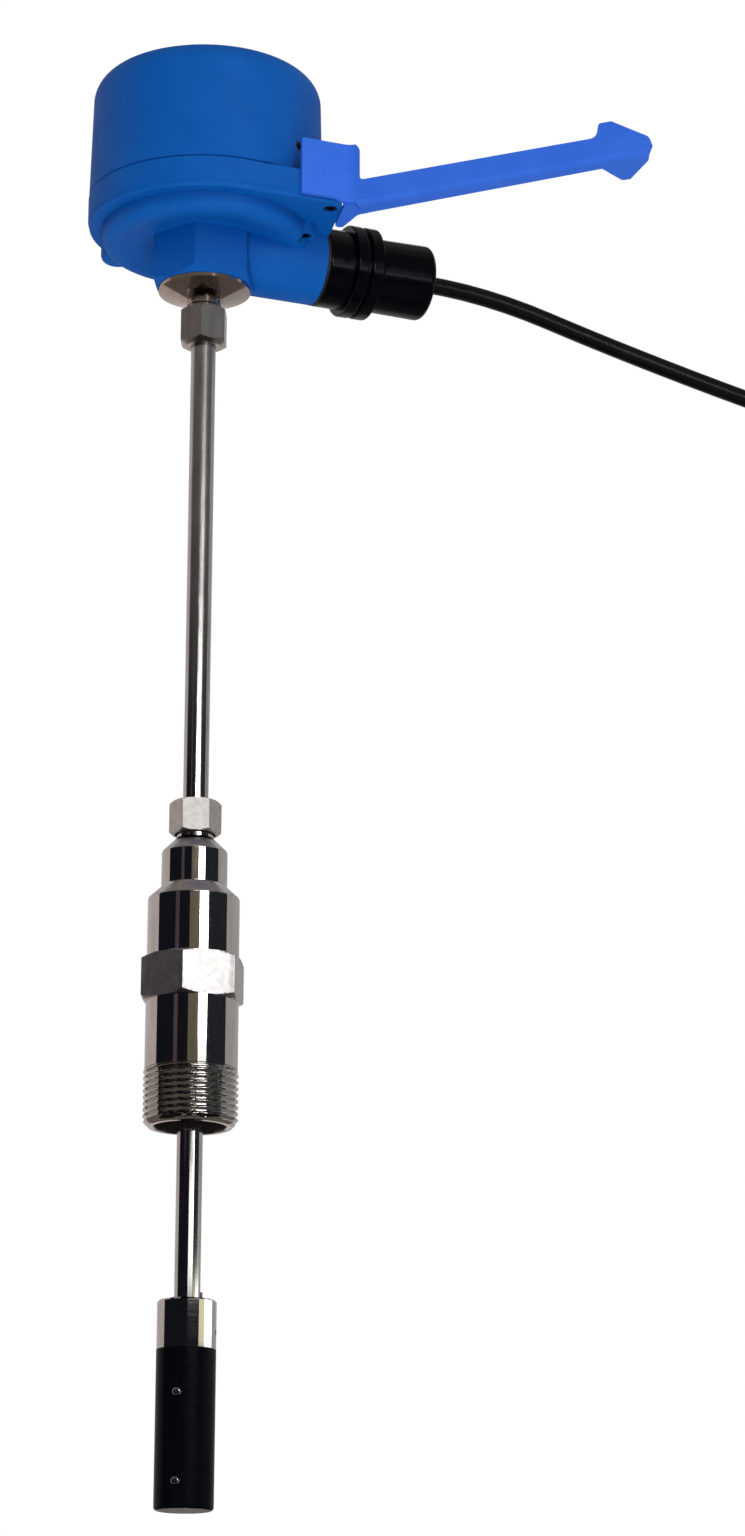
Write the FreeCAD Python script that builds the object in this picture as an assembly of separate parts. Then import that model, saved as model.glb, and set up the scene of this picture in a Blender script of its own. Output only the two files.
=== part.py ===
import FreeCAD, Part
import math
import os

os.makedirs("parts", exist_ok=True)
V = FreeCAD.Vector

# Millimetres. The origin is on the process thread's axis at the thread's upper end,
# +Z runs up the stem to the head and +X runs out along the cable gland.

# Clearances
RUN_FIT = 0.08          # radial, between pieces that turn or slide on each other
STEM_FIT = 0.06         # radial, stem in its guide bush
FREE_GAP = 0.30         # between pieces that move past each other without touching
THREAD_FIT = 0.05       # radial, screwed pieces that stay together

# Process fitting, by lengths up and down from the origin
THREAD_R = 16.6         # 1 inch taper pipe thread, drawn as a cylinder over its crests
THREAD_LEN = 19.5
THREAD_LEAD = 2.0       # chamfered end below the thread
THREAD_RUN_OUT = 0.9    # groove between the thread and the plain shank
SHANK_R = 16.25
SHANK_LEN = 22.7
BODY_R = 16.15
HEX_FLATS = 33.0
HEX_H = 15.7
BODY_LEN = 20.6         # above the hexagon
SHOULDER_H = 5.0
NECK_R = 11.6
NECK_LEN = 17.2         # with its shoulder
SPIGOT_LEN = 13.8       # with its shoulder
SPIGOT_WALL = 2.5
PROBE_BORE_R = 12.6
BUSH_BORE_R = 8.3
RING_GROOVE = 0.9       # radial, for the ring that holds the bush
END_Z = -THREAD_LEN - THREAD_LEAD
HEX_Z0 = SHANK_LEN
HEX_Z1 = HEX_Z0 + HEX_H
BODY_TOP_Z = HEX_Z1 + BODY_LEN
NECK_TOP_Z = BODY_TOP_Z + NECK_LEN
SPIGOT_TOP_Z = NECK_TOP_Z + SPIGOT_LEN
PROBE_BORE_TOP = BODY_TOP_Z - 7.0
BUSH_BORE_TOP = NECK_TOP_Z - 4.2

# Stem, ferrules and nuts
STEM_R = 4.5
STEM_BORE_R = 3.0
STEM_SEAT = 7.1         # stem's end above the cone's flat top
FERRULE_WALL = 1.35
NUT_WALL = 0.7          # at the flats, over the thread
LOCK_NUT_H = 11.9
HEAD_NUT_H = 13.9
HEAD_NUT_GAP = 8.9      # head nut to the cone's flat top
SPIGOT_R = STEM_R + SPIGOT_WALL
FERRULE_R = STEM_R + FERRULE_WALL
NUT_FLATS = 2 * (SPIGOT_R + FREE_GAP + NUT_WALL)
LOCK_NUT_Z0 = SPIGOT_TOP_Z - 6.7
LOCK_NUT_Z1 = LOCK_NUT_Z0 + LOCK_NUT_H

# Probe
PROBE_R = 10.25
SENSOR_LEN = 54.3
SENSOR_BORE_R = 7.6
TIP_WALL = 3.8
COLLAR_R = 10.2
COLLAR_Z0 = -98.5
COLLAR_H = 16.8
COLLAR_RECESS_R = 7.5
LEAD_HOLE_R = 2.6
PIN_R = 0.55            # locating pin that stands on the collar beside the stem
PIN_H = 3.0
PIN_AZ = -22.0
SET_SCREW_R = 1.05
SET_SCREW_AZ = -29.0
SET_SCREW_H = 5.9
ELECTRODE_AZ = -126.5
ELECTRODE_R = 1.2
ELECTRODE_LOW = 9.0     # above the tip
ELECTRODE_HIGH = 38.9
CORE_R = 3.0
LEAD_R = 1.8
COLLAR_Z1 = COLLAR_Z0 + COLLAR_H
STEM_Z0 = COLLAR_Z0 + 3.3
TIP_Z = COLLAR_Z0 - SENSOR_LEN
CORE_TOP_Z = COLLAR_Z0 - 11.5
SET_SCREW_Z = COLLAR_Z0 + SET_SCREW_H

# Head housing, by heights up and down from its parting line
PARTING_Z = 324.5
PARTING_EDGE = 0.4      # chamfers on both sides of the parting line
RIM_R = 43.2
RIM_BAND = 9.2          # height of the rim's outer band
RIM_STEP = 0.4          # radial, from the band to the edge under it
RIM_H = 11.5            # parting line to the flat ring under the rim
RIM_LAND = 3.2          # radial, the flat that the lid closes on
RING_W = 5.2            # flat ring, from the rim to the bowl
RING_WALL = 3.0
BOWL_H = 7.0
BOWL_EDGE = 4.0
BOWL_WALL = 4.0
DISH_R = 20.5           # raised middle of the bowl's underside
DISH_H = 3.0
FLOOR_WALL = 6.0
COLLAR_WALL = 3.0
COLLAR_RISE = 15.5      # thread for the lid
BOSS_H = 15.6
HEX_BOSS_R = 20.0       # over the corners
CONE_TOP_R = 16.8
ADAPTOR_R = 10.5        # thread of the adaptor in the hexagon boss
ADAPTOR_LEN = 15.6
LID_H = 47.3
LID_SETBACK = 0.2       # radial, lid inside the rim
LID_DRAFT = 1.2
LID_WALL = 3.4
LID_TOP_WALL = 3.6
LID_TOP_EDGE = 9.0
SEAL_W = 1.9
SEAL_H = 2.2
LOCK_SCREW_AZ = -57.8
LOCK_SCREW_R = 2.0
LOCK_SCREW_RISE = 11.7
COLLAR_THREAD_R = RIM_R - RIM_LAND
CAVITY_R = COLLAR_THREAD_R - COLLAR_WALL
LID_R0 = RIM_R - LID_SETBACK
LID_R1 = LID_R0 - LID_DRAFT
BOWL_R = RIM_R - RING_W
RING_Z = PARTING_Z - RIM_H
RIM_Z0 = PARTING_Z - RIM_BAND
BOWL_Z = RING_Z - BOWL_H
FLOOR_Z = BOWL_Z + FLOOR_WALL
CONE_TOP_Z = BOWL_Z - BOSS_H
ADAPTOR_TOP_Z = CONE_TOP_Z + ADAPTOR_LEN
COLLAR_TOP_Z = PARTING_Z + COLLAR_RISE
LID_TOP_Z = PARTING_Z + LID_H
LOCK_SCREW_Z = PARTING_Z + LOCK_SCREW_RISE
STEM_Z1 = CONE_TOP_Z + STEM_SEAT
HEAD_NUT_Z1 = CONE_TOP_Z - HEAD_NUT_GAP
HEAD_NUT_Z0 = HEAD_NUT_Z1 - HEAD_NUT_H

# Terminals and electronics in the head
BOARD_T = 1.6
BOARD_GAP = 4.0         # radial, board to the wall
POST_H = 18.0
POST_R = 3.4
POST_INSET = 5.0        # board's edge to the posts' axes
POST_ANGLES = (45, 135, 225, 315)
BOARD_SCREW_R = 2.7
TERMINAL_PITCH = 5.5
BLOCK_D = 11.0
BLOCK_H = 12.0
MODULE_D = 20.0
MODULE_H = 15.0
BOARD_R = CAVITY_R - BOARD_GAP
POST_CIRCLE = BOARD_R - POST_INSET
BOARD_Z = FLOOR_Z + POST_H
BOARD_TOP_Z = BOARD_Z + BOARD_T

# Cable entry, on an axis along +X
ENTRY_DROP = 6.5        # axis below the flat ring
ENTRY_R = 14.5
GLAND_THREAD_R = 10.2
GLAND_BORE_R = 7.0
GLAND_RING_R = 17.1
GLAND_INNER_R = 11.2    # thread of the gland's nut
GLAND_SEAL_R = 9.0
GASKET_T = 1.0
GLAND_THREAD_LEN = 11.2
GLAND_HUB_LEN = 10.0
GLAND_RING_LEN = 4.4
GLAND_GROOVE = 1.6      # between the body's ring and the nut's
GLAND_SLEEVE_LEN = 12.8
GLAND_SEAL_SEAT = 19.8
GLAND_SEAL_LEN = 12.5
GLAND_LEN = 43.8
CABLE_R = 3.25
ENTRY_Z = RING_Z - ENTRY_DROP
ENTRY_X = RIM_R
GLAND_X = ENTRY_X + GASKET_T
GLAND_NUT_X = GLAND_X + GLAND_HUB_LEN + GLAND_RING_LEN + GLAND_GROOVE
GLAND_SLEEVE_X = GLAND_NUT_X + GLAND_SLEEVE_LEN
GLAND_SEAL_X = GLAND_X + GLAND_SEAL_SEAT
GLAND_END_X = ENTRY_X + GLAND_LEN

# Flow arrow of folded sheet
SHEET = 1.8
TAIL_LEN = 16.4
TAIL_BACK = 0.4         # tail plate's end, back from the lug's side
BEND_R = 6.0            # to the middle of the sheet
ARM_TURN = 46.0         # degrees from the tail plate to the arm
ARM_LEN = 112.5
ARM_H = 9.3
HEAD_BACK = 18.3        # arrow head's root, back from its tip
HEAD_UP = 14.6
HEAD_OUT = 18.6
FLANGE_W0 = 9.0         # at the bend
FLANGE_W1 = 6.4         # behind the arrow head
LUG_SIDE_IN = 5.8       # lug's side at its front, in from the rim
LUG_SETBACK = 0.3       # and at the cable entry, in from the entry's face
LUG_SIDE_Y = -16.0
LUG_Y1 = -8.0
LUG_CORNER = 4.0
ARM_SCREW_SIDE = 2.8    # from the lug's side
ARM_SCREW_INSET = 5.7   # from the lug's front
ARM_SCREW_R = 2.05
ARM_NUT_H = 3.0
EARTH_AZ = -33.8
EARTH_INSET = 5.8       # from the rim
EARTH_SCREW_R = 1.95
EARTH_SCREW_LEN = 9.0
EARTH_PAD_R = 3.6
EARTH_PAD_DROP = 4.6    # below the flat ring
SCREW_HEAD_R = 2.35
SCREW_HEAD_H = 1.7
SCREW_ROOM = 0.2        # radial, round a sunk head
LUG_X0 = RIM_R - LUG_SIDE_IN
LUG_X1 = ENTRY_X - LUG_SETBACK
TAIL_X1 = LUG_X0 - TAIL_BACK
TAIL_X0 = TAIL_X1 - TAIL_LEN
ARM_SCREW_X = LUG_X0 - ARM_SCREW_SIDE
TAIL_Z0 = RING_Z + 1.5
TAIL_Z1 = PARTING_Z + 11.3
ARM_Z0 = RING_Z - 0.7
ARM_Z1 = ARM_Z0 + ARM_H
LUG_Z1 = PARTING_Z - 0.5
ARM_SCREW_XY = (ARM_SCREW_X, ARM_SCREW_INSET - RIM_R)
EARTH_PAD_Z = RING_Z - EARTH_PAD_DROP

# Spare cable, tied in a ring that hangs in the XZ plane
COIL_X = 283.0
COIL_Z = 211.6
COIL_R0 = 23.2
COIL_R1 = 49.3
COIL_HALF_WIDTH = 13.0
CABLE_ROUTE = (
    (GLAND_END_X, 0.0, ENTRY_Z), (112.0, 0.0, 306.5), (165.0, 0.0, 292.6),
    (232.0, -4.5, 275.6), (293.5, -9.75, 263.1),
)


def in_xz(v):
    return V(v.x, 0, v.y)


def in_xy(v):
    return V(v.x, v.y, 0)


def on_entry(v):
    return V(v.x, 0, ENTRY_Z + v.y)


def rounded_wire(points, place):
    """Closed outline through the points; a third number rounds that corner."""
    count = len(points)
    corners = []
    for i, point in enumerate(points):
        corner = V(point[0], point[1], 0)
        if len(point) == 2:
            corners.append((corner, None, corner))
            continue
        before = V(points[i - 1][0], points[i - 1][1], 0) - corner
        after = V(points[(i + 1) % count][0], points[(i + 1) % count][1], 0) - corner
        before.normalize()
        after.normalize()
        half = before.getAngle(after) / 2
        inward = before + after
        inward.normalize()
        reach = point[2] / math.tan(half)
        middle = corner + inward * (point[2] / math.sin(half) - point[2])
        corners.append((corner + before * reach, middle, corner + after * reach))
    edges = []
    for i in range(count):
        start, middle, finish = corners[i]
        following = corners[(i + 1) % count][0]
        if middle is not None:
            edges.append(Part.Arc(place(start), place(middle), place(finish)).toShape())
        if (following - finish).Length > 1e-6:
            edges.append(Part.LineSegment(place(finish), place(following)).toShape())
    return Part.Wire(edges)


def turned(points):
    """Solid turned about Z from an outline of radius and height."""
    face = Part.Face(rounded_wire(points, in_xz))
    return face.revolve(V(0, 0, 0), V(0, 0, 1), 360)


def turned_on_entry(points):
    """Solid turned about the cable entry's axis from an outline of X and radius."""
    face = Part.Face(rounded_wire(points, on_entry))
    return face.revolve(V(0, 0, ENTRY_Z), V(1, 0, 0), 360)


def plate(points, place, thickness):
    """Flat plate of the outline, thick along the given vector."""
    return Part.Face(rounded_wire(points, place)).extrude(thickness)


def hexagon(flats, z0, z1, corner_angle):
    radius = flats / math.sqrt(3)
    points = []
    for i in range(6):
        angle = math.radians(corner_angle + 60 * i)
        points.append((radius * math.cos(angle), radius * math.sin(angle)))
    prism = plate(points, in_xy, V(0, 0, z1 - z0))
    prism.translate(V(0, 0, z0))
    return prism


def hexagon_with_chamfers(flats, z0, z1, corner_angle, low, high):
    """Hexagon whose ends are turned down to the low and high face radii."""
    radius = flats / math.sqrt(3) + 0.2
    slope = math.tan(math.radians(30))
    cone = turned([
        (0, z0), (low, z0), (radius, z0 + (radius - low) * slope),
        (radius, z1 - (radius - high) * slope), (high, z1), (0, z1),
    ])
    return hexagon(flats, z0, z1, corner_angle).common(cone)


def rod(radius, start, finish):
    axis = finish - start
    return Part.makeCylinder(radius, axis.Length, start, axis)


def at_azimuth(radius, degrees, z):
    angle = math.radians(degrees)
    return V(radius * math.cos(angle), radius * math.sin(angle), z)


def process_fitting():
    outer = turned([
        (0, END_Z), (THREAD_R - THREAD_LEAD, END_Z), (THREAD_R, -THREAD_LEN), (THREAD_R, 0),
        (SHANK_R - 0.4, 0.1), (SHANK_R - 0.4, THREAD_RUN_OUT - 0.3), (SHANK_R, THREAD_RUN_OUT),
        (SHANK_R, HEX_Z0 + 5), (BODY_R, HEX_Z0 + 5), (BODY_R, BODY_TOP_Z), (NECK_R, BODY_TOP_Z + SHOULDER_H),
        (NECK_R, NECK_TOP_Z), (SPIGOT_R, NECK_TOP_Z + SHOULDER_H), (SPIGOT_R, SPIGOT_TOP_Z - 0.6),
        (SPIGOT_R - 0.6, SPIGOT_TOP_Z), (0, SPIGOT_TOP_Z),
    ])
    face_r = HEX_FLATS / 2 + 0.5
    outer = outer.fuse(hexagon_with_chamfers(HEX_FLATS, HEX_Z0, HEX_Z1, 0, face_r, face_r))
    groove_r = BUSH_BORE_R + RING_GROOVE
    mouth_r = FERRULE_R + 0.25
    bore = turned([
        (0, END_Z - 1), (PROBE_BORE_R, END_Z - 1), (PROBE_BORE_R, PROBE_BORE_TOP - 1.5),
        (PROBE_BORE_R - 1.5, PROBE_BORE_TOP), (BUSH_BORE_R, PROBE_BORE_TOP),
        (BUSH_BORE_R, PROBE_BORE_TOP + 1.2), (groove_r, PROBE_BORE_TOP + 1.2),
        (groove_r, PROBE_BORE_TOP + 2.6), (BUSH_BORE_R, PROBE_BORE_TOP + 2.6),
        (BUSH_BORE_R, BUSH_BORE_TOP), (STEM_R + FREE_GAP, BUSH_BORE_TOP),
        (STEM_R + FREE_GAP, SPIGOT_TOP_Z - 3.5), (mouth_r, SPIGOT_TOP_Z), (mouth_r, SPIGOT_TOP_Z + 1),
        (0, SPIGOT_TOP_Z + 1),
    ])
    return outer.cut(bore)


def retaining_ring():
    z = PROBE_BORE_TOP + 1.2
    inner = BUSH_BORE_R - 1.4
    outer = BUSH_BORE_R + RING_GROOVE
    return turned([(inner, z), (outer, z), (outer, z + 1.4), (inner, z + 1.4)])


def stem_bush():
    r = BUSH_BORE_R - RUN_FIT
    inner = STEM_R + STEM_FIT
    groove_r = STEM_R + 1.85
    z0 = PROBE_BORE_TOP + 2.9
    z1 = BUSH_BORE_TOP - FREE_GAP
    sleeve = turned([(inner, z0), (r, z0), (r, z1), (inner, z1)])
    for z in (z0 + 3.0, z0 + 11.0):
        groove = turned([(inner - 1, z), (groove_r, z), (groove_r, z + 2.2), (inner - 1, z + 2.2)])
        sleeve = sleeve.cut(groove)
    return sleeve


def bush_seal(offset):
    z = PROBE_BORE_TOP + 2.9 + offset + 1.1
    return Part.makeTorus(STEM_R + 1.05, 0.75, V(0, 0, z), V(0, 0, 1))


def lock_ferrule():
    inner = STEM_R + RUN_FIT
    z = SPIGOT_TOP_Z
    return turned([
        (inner, z - 2.6), (STEM_R + 0.32, z - 2.6), (FERRULE_R, z + 0.2), (FERRULE_R, z + 1.6),
        (STEM_R + 0.6, z + 3.0), (inner, z + 3.0),
    ])


def lock_nut():
    face_r = NUT_FLATS / 2 - 0.1
    blank = hexagon_with_chamfers(NUT_FLATS, LOCK_NUT_Z0, LOCK_NUT_Z1, 42, face_r, face_r)
    pocket = FERRULE_R + RUN_FIT
    thread = SPIGOT_R + FREE_GAP
    z = SPIGOT_TOP_Z
    bore = turned([
        (0, LOCK_NUT_Z0 - 1), (thread, LOCK_NUT_Z0 - 1), (thread, z + 0.4), (pocket, z + 0.4),
        (pocket, z + 2.0), (STEM_R + 0.6, z + 3.5), (STEM_R + FREE_GAP, z + 3.5),
        (STEM_R + FREE_GAP, LOCK_NUT_Z1 + 1), (0, LOCK_NUT_Z1 + 1),
    ])
    return blank.cut(bore)


def stem_rod():
    return turned([
        (STEM_BORE_R, STEM_Z0), (STEM_R, STEM_Z0), (STEM_R, STEM_Z1), (STEM_BORE_R, STEM_Z1),
    ])


def probe_collar():
    blank = turned([
        (0, COLLAR_Z0), (COLLAR_R, COLLAR_Z0), (COLLAR_R, COLLAR_Z1 - 0.6),
        (COLLAR_R - 0.6, COLLAR_Z1), (0, COLLAR_Z1),
    ])
    bore = turned([
        (0, COLLAR_Z0 - 1), (COLLAR_RECESS_R, COLLAR_Z0 - 1), (COLLAR_RECESS_R, COLLAR_Z0 + 1.5),
        (LEAD_HOLE_R, COLLAR_Z0 + 1.5), (LEAD_HOLE_R, STEM_Z0), (STEM_R, STEM_Z0),
        (STEM_R, COLLAR_Z1 + 1), (0, COLLAR_Z1 + 1),
    ])
    start = at_azimuth(STEM_R, SET_SCREW_AZ, SET_SCREW_Z)
    finish = at_azimuth(COLLAR_R + 2, SET_SCREW_AZ, SET_SCREW_Z)
    foot = at_azimuth(STEM_R + PIN_R, PIN_AZ, 0)
    pin_hole = rod(PIN_R, foot + V(0, 0, COLLAR_Z1 - 3), foot + V(0, 0, COLLAR_Z1 + 1))
    return blank.cut(bore).cut(rod(SET_SCREW_R, start, finish)).cut(pin_hole)


def collar_pin():
    foot = at_azimuth(STEM_R + PIN_R, PIN_AZ, 0)
    return rod(PIN_R, foot + V(0, 0, COLLAR_Z1 - 3), foot + V(0, 0, COLLAR_Z1 + PIN_H))


def collar_set_screw():
    start = at_azimuth(STEM_R + 0.05, SET_SCREW_AZ, SET_SCREW_Z)
    finish = at_azimuth(COLLAR_R - FREE_GAP, SET_SCREW_AZ, SET_SCREW_Z)
    socket_start = at_azimuth(COLLAR_R - 1.4, SET_SCREW_AZ, SET_SCREW_Z)
    socket_end = at_azimuth(COLLAR_R + 1, SET_SCREW_AZ, SET_SCREW_Z)
    return rod(SET_SCREW_R, start, finish).cut(rod(0.5, socket_start, socket_end))


def sensor_body():
    neck = COLLAR_RECESS_R - 0.05
    cap_z = COLLAR_Z0 - 2.5
    shell = turned([
        (0, TIP_Z), (PROBE_R, TIP_Z, 1.2), (PROBE_R, COLLAR_Z0), (neck, COLLAR_Z0),
        (neck, COLLAR_Z0 + 1.4), (LEAD_HOLE_R, COLLAR_Z0 + 1.4), (LEAD_HOLE_R, cap_z), (SENSOR_BORE_R, cap_z),
        (SENSOR_BORE_R, TIP_Z + TIP_WALL), (0, TIP_Z + TIP_WALL),
    ])
    for height in (ELECTRODE_LOW, ELECTRODE_HIGH):
        start = at_azimuth(SENSOR_BORE_R - 1.5, ELECTRODE_AZ, TIP_Z + height)
        finish = at_azimuth(PROBE_R + 3, ELECTRODE_AZ, TIP_Z + height)
        shell = shell.cut(rod(ELECTRODE_R, start, finish))
    return shell


def electrode(height):
    """Round-headed pin through the wall of the sensor body."""
    inner = SENSOR_BORE_R - 1.0
    outline = [(inner, 0), (inner, ELECTRODE_R), (PROBE_R, ELECTRODE_R), (PROBE_R, ELECTRODE_R + 0.4),
               (PROBE_R + 0.7, ELECTRODE_R, 0.5), (PROBE_R + 0.9, 0)]
    face = Part.Face(rounded_wire(outline, in_xz))
    pin = face.revolve(V(0, 0, 0), V(1, 0, 0), 360)
    seat = Part.makeCylinder(PROBE_R, 30, V(0, 0, -15))
    shank = rod(ELECTRODE_R, V(inner, 0, 0), V(PROBE_R, 0, 0))
    pin = pin.cut(seat).fuse(shank)
    pin.rotate(V(0, 0, 0), V(0, 0, 1), ELECTRODE_AZ)
    pin.translate(V(0, 0, TIP_Z + height))
    return pin.removeSplitter()


def coil_core():
    z0 = TIP_Z + TIP_WALL
    return turned([(0, z0), (CORE_R, z0), (CORE_R, CORE_TOP_Z), (0, CORE_TOP_Z)])


def field_coil():
    z0 = TIP_Z + ELECTRODE_LOW + 4.3
    z1 = TIP_Z + ELECTRODE_HIGH - 4.1
    r = CORE_R + 2.9
    return turned([(CORE_R, z0), (r, z0), (r, z1), (CORE_R, z1)])


def lead_bundle():
    z1 = FLOOR_Z + 6
    return turned([(0, CORE_TOP_Z), (LEAD_R, CORE_TOP_Z), (LEAD_R, z1), (0, z1)])


def head_adaptor():
    thread = STEM_R + 2.4
    seat = STEM_R + 1.55
    z = HEAD_NUT_Z1
    return turned([
        (STEM_R, z - 4.3), (seat, z - 8.0), (thread, z - 8.0), (thread, z - 0.5), (STEM_R + 1.2, z - 0.5),
        (STEM_R + 1.2, z + 1.9), (STEM_R + 1.8, z + 1.9), (STEM_R + 1.8, z + 3.8),
        (CONE_TOP_R, CONE_TOP_Z - 1.4), (CONE_TOP_R, CONE_TOP_Z), (ADAPTOR_R, CONE_TOP_Z),
        (ADAPTOR_R, ADAPTOR_TOP_Z), (STEM_BORE_R + 0.2, ADAPTOR_TOP_Z), (STEM_BORE_R + 0.2, STEM_Z1),
        (STEM_R, STEM_Z1),
    ])


def head_ferrule():
    z = HEAD_NUT_Z0
    r = STEM_R + 1.4
    return turned([
        (STEM_R, z + 3.2), (STEM_R + 0.6, z + 3.2), (r, z + 4.6), (r, z + 5.6), (STEM_R + 0.25, z + 8.4),
        (STEM_R, z + 8.4),
    ])


def head_nut():
    face_r = NUT_FLATS / 2
    blank = hexagon_with_chamfers(NUT_FLATS, HEAD_NUT_Z0, HEAD_NUT_Z1, 5, face_r - 1.6, face_r - 0.1)
    thread = STEM_R + 2.4 + THREAD_FIT
    z = HEAD_NUT_Z0
    bore = turned([
        (0, z - 1), (STEM_R + 0.1, z - 1), (STEM_R + 0.1, z + 2.8), (STEM_R + 0.7, z + 3.0),
        (STEM_R + 1.5, z + 4.4), (STEM_R + 1.5, z + 5.6), (thread, z + 5.6),
        (thread, HEAD_NUT_Z1 + 1), (0, HEAD_NUT_Z1 + 1),
    ])
    return blank.cut(bore)


def lug_side(y):
    """X of the lug's slanted side at the given Y."""
    return LUG_X0 + (LUG_X1 - LUG_X0) * (y + RIM_R) / (LUG_SIDE_Y + RIM_R)


def lug_block():
    """Corner beside the round base that goes on with the rim's band and its flat ring."""
    front = -RIM_R
    outline = [
        (front, LUG_Z1), (front, RIM_Z0 + 0.3), (front + RIM_STEP, RIM_Z0), (front + RIM_STEP, RING_Z, 1.0),
        (LUG_Y1, RING_Z), (LUG_Y1, LUG_Z1),
    ]
    bar = plate(outline, lambda v: V(0, v.x, v.y), V(LUG_X1 + 10, 0, 0))
    corner = plate([
        (-1, front - 1), (lug_side(front - 1), front - 1, LUG_CORNER + 1), (LUG_X1, LUG_SIDE_Y),
        (LUG_X1, LUG_Y1 + 1), (-1, LUG_Y1 + 1),
    ], in_xy, V(0, 0, RIM_H + 2))
    corner.translate(V(0, 0, RING_Z - 1))
    return bar.common(corner)


def earth_axis(z):
    return at_azimuth(RIM_R - EARTH_INSET, EARTH_AZ, z)


def housing_base():
    body = turned([
        (0, BOWL_Z + DISH_H), (DISH_R, BOWL_Z + DISH_H), (BOWL_R - 6.0, BOWL_Z), (BOWL_R, BOWL_Z, BOWL_EDGE),
        (BOWL_R, RING_Z), (RIM_R - RIM_STEP, RING_Z, 1.0), (RIM_R - RIM_STEP, RIM_Z0), (RIM_R, RIM_Z0 + 0.3),
        (RIM_R, PARTING_Z - PARTING_EDGE), (RIM_R - PARTING_EDGE, PARTING_Z), (COLLAR_THREAD_R, PARTING_Z),
        (COLLAR_THREAD_R, COLLAR_TOP_Z - 0.8), (COLLAR_THREAD_R - 0.8, COLLAR_TOP_Z), (0, COLLAR_TOP_Z),
    ])
    boss_top = FLOOR_Z - 1.0
    boss = hexagon(HEX_BOSS_R * math.sqrt(3), CONE_TOP_Z, boss_top, 0)
    boss = boss.common(turned([
        (0, CONE_TOP_Z), (HEX_BOSS_R - 2.8, CONE_TOP_Z), (HEX_BOSS_R + 1.0, CONE_TOP_Z + 3.0),
        (HEX_BOSS_R + 1.0, boss_top), (0, boss_top),
    ]))
    entry = rod(ENTRY_R, V(0, 0, ENTRY_Z), V(ENTRY_X, 0, ENTRY_Z))
    saddle = Part.makeBox(ENTRY_X - 1.0, 2 * ENTRY_R, 10, V(0, -ENTRY_R, ENTRY_Z))
    pad = rod(EARTH_PAD_R, earth_axis(EARTH_PAD_Z), earth_axis(RING_Z + 3.0))
    rim_boss = turned([(0, RING_Z - 3.2), (6.4, RING_Z - 3.2, 3.0), (6.4, LUG_Z1 - 1.0), (0, LUG_Z1 - 1.0)])
    rim_boss.translate(at_azimuth(RIM_R - 3.4, 125, 0))
    for lump in (boss, entry, saddle, pad, rim_boss, lug_block()):
        body = body.fuse(lump)
    body = body.cut(Part.makeCylinder(CONE_TOP_R + 0.6, 10, V(0, 0, CONE_TOP_Z - 10)))
    step_z = RING_Z + RING_WALL
    cavity = turned([
        (0, FLOOR_Z), (BOWL_R - BOWL_WALL, FLOOR_Z, 1.5), (BOWL_R - BOWL_WALL, step_z), (CAVITY_R, step_z, 1.5),
        (CAVITY_R, COLLAR_TOP_Z + 1), (0, COLLAR_TOP_Z + 1),
    ])
    adaptor_thread = ADAPTOR_R + THREAD_FIT
    stem_bore = turned([
        (0, CONE_TOP_Z - 1), (adaptor_thread, CONE_TOP_Z - 1), (adaptor_thread, ADAPTOR_TOP_Z),
        (7.0, ADAPTOR_TOP_Z), (7.0, FLOOR_Z + 1), (0, FLOOR_Z + 1),
    ])
    gland_thread = GLAND_THREAD_R + THREAD_FIT
    thread_end = ENTRY_X - GLAND_THREAD_LEN - 2.0
    wire_way = turned_on_entry([
        (ENTRY_X + 1, 0), (ENTRY_X + 1, gland_thread), (thread_end, gland_thread),
        (thread_end, GLAND_BORE_R), (15.0, GLAND_BORE_R), (15.0, 0),
    ])
    slot = Part.makeBox(16.0, 13.0, FLOOR_Z + 1 - ENTRY_Z, V(16.0, -6.5, ENTRY_Z))
    body = body.cut(cavity).cut(stem_bore).cut(wire_way).cut(slot)
    body = body.fuse(rod(EARTH_PAD_R, earth_axis(FLOOR_Z - 1), earth_axis(EARTH_PAD_Z + 13.0)))
    head_room = SCREW_HEAD_R + SCREW_ROOM
    low = V(*ARM_SCREW_XY, BOWL_Z - 5)
    body = body.cut(rod(ARM_SCREW_R + THREAD_FIT, low, V(*ARM_SCREW_XY, PARTING_Z + 5)))
    body = body.cut(rod(head_room, low, V(*ARM_SCREW_XY, RING_Z + SCREW_HEAD_H)))
    earth_seat_z = EARTH_PAD_Z + SCREW_HEAD_H
    earth_end_z = earth_seat_z + EARTH_SCREW_LEN + FREE_GAP
    body = body.cut(rod(EARTH_SCREW_R + THREAD_FIT, earth_axis(BOWL_Z - 5), earth_axis(earth_end_z)))
    body = body.cut(rod(head_room, earth_axis(BOWL_Z - 5), earth_axis(earth_seat_z)))
    for degrees in POST_ANGLES:
        foot = at_azimuth(POST_CIRCLE, degrees, FLOOR_Z - 1)
        head = at_azimuth(POST_CIRCLE, degrees, BOARD_Z)
        hole_foot = at_azimuth(POST_CIRCLE, degrees, BOARD_Z - 10)
        hole_head = at_azimuth(POST_CIRCLE, degrees, BOARD_Z + 1)
        body = body.fuse(rod(POST_R, foot, head)).cut(rod(1.5, hole_foot, hole_head))
    return body.removeSplitter()


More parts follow.
